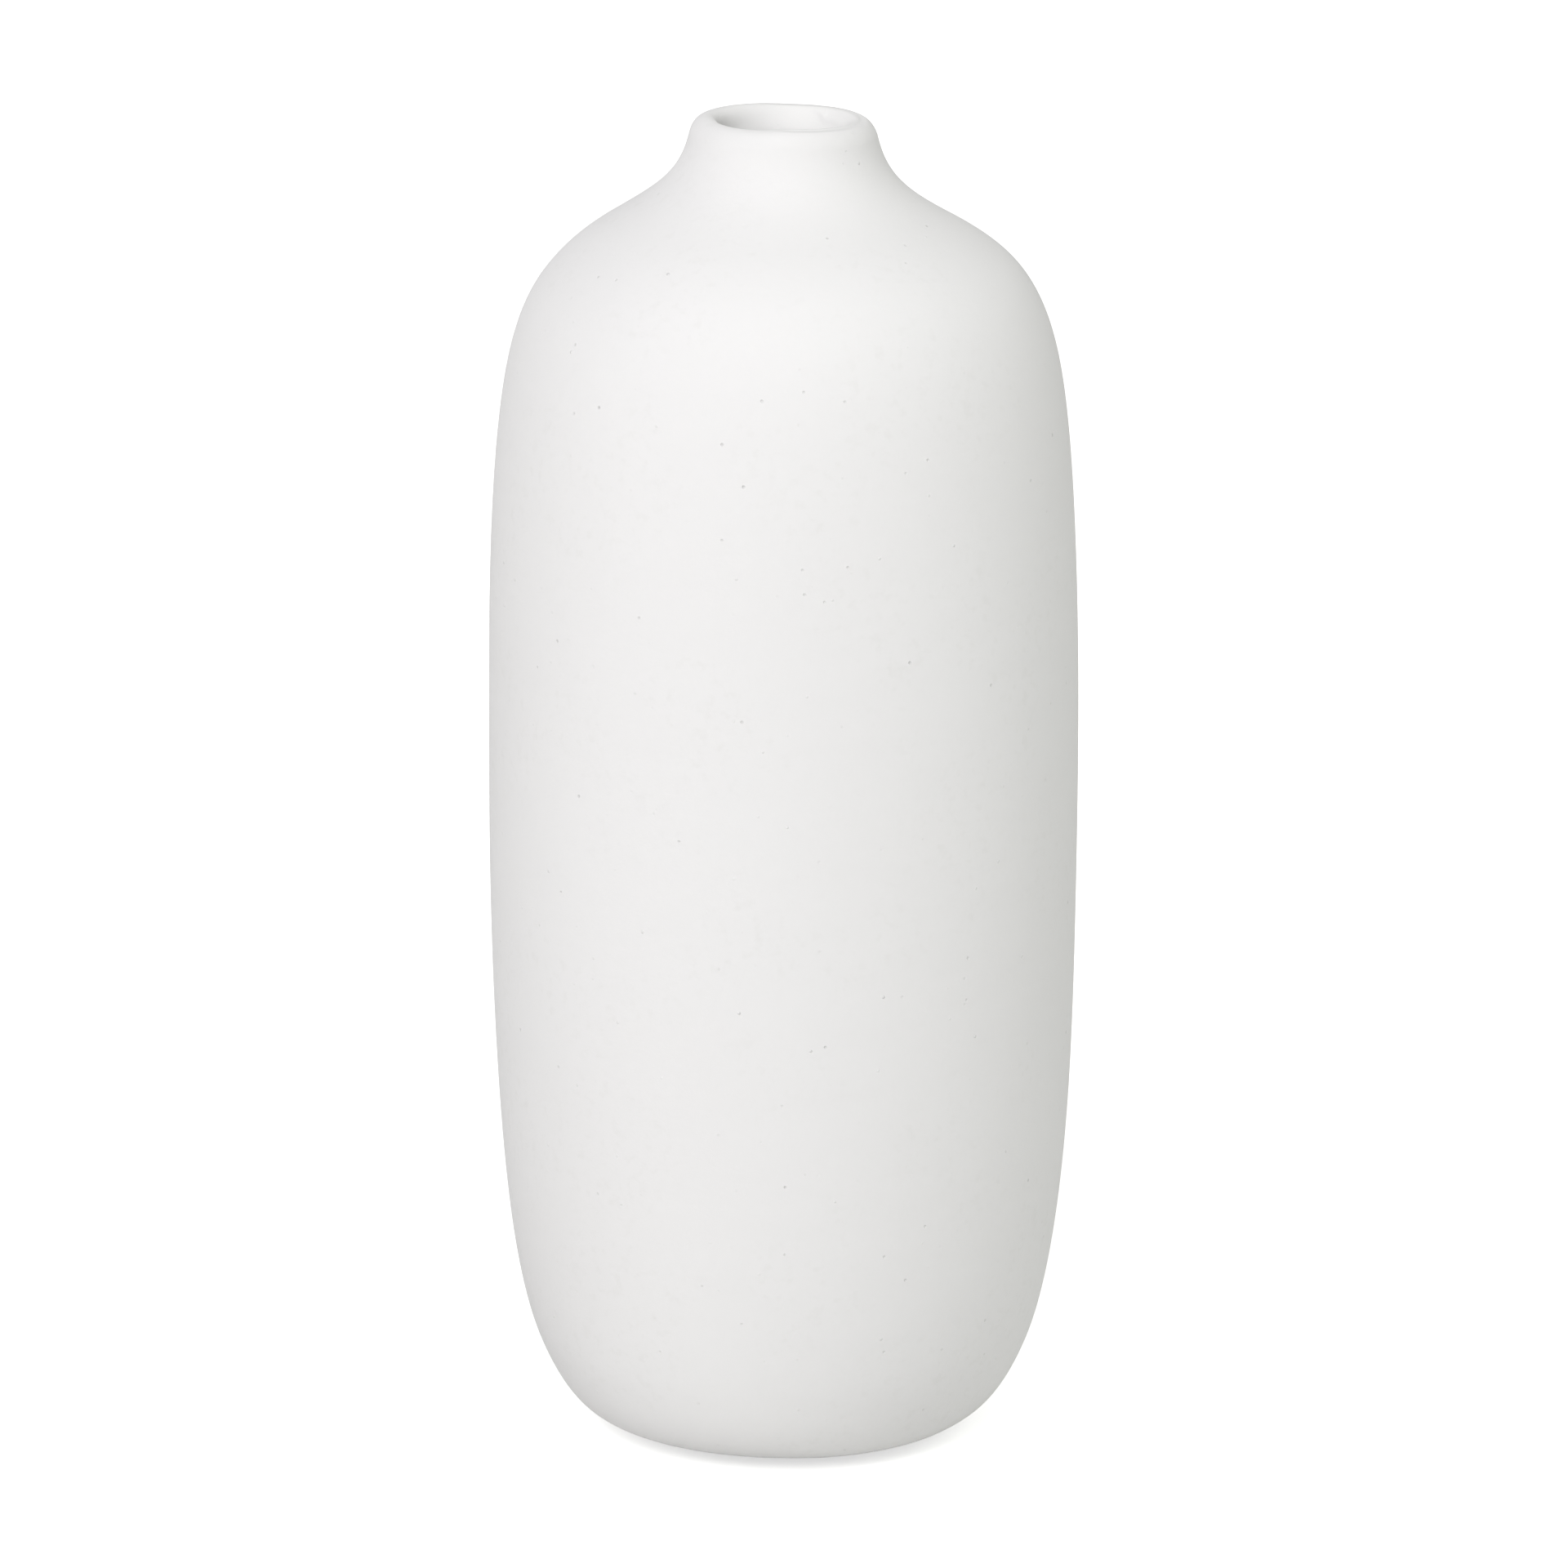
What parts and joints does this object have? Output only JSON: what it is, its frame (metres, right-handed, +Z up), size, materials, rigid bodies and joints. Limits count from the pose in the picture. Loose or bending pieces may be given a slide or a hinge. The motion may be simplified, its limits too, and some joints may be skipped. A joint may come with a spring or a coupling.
{
  "type": "ceramic bud vase",
  "caption": "Tall bottle-shaped ceramic bud vase with round shoulders and a short narrow neck, bare matte clay outside, glaze lining inside and small pads under the foot ring.",
  "frame": {"origin": "in the resting plane, on the vase's axis, at the centre of the bottom of its bounding box", "axes": "+Z up along the vase's axis from the foot to the mouth; -Y faces the viewer, +X is to the viewer's right, and the lip is slightly higher towards -X"},
  "size_m": [0.0792, 0.0792, 0.1802],
  "materials": {
    "bare_clay": "matte",
    "inner_glaze": "gloss",
    "clear_silicone": "satin"
  },
  "bodies": {
    "root": {"vase_body": "bare_clay", "interior_glaze": "inner_glaze", "foot_pad_1": "clear_silicone", "foot_pad_2": "clear_silicone", "foot_pad_3": "clear_silicone", "foot_pad_4": "clear_silicone"}
  },
  "joints": []
}
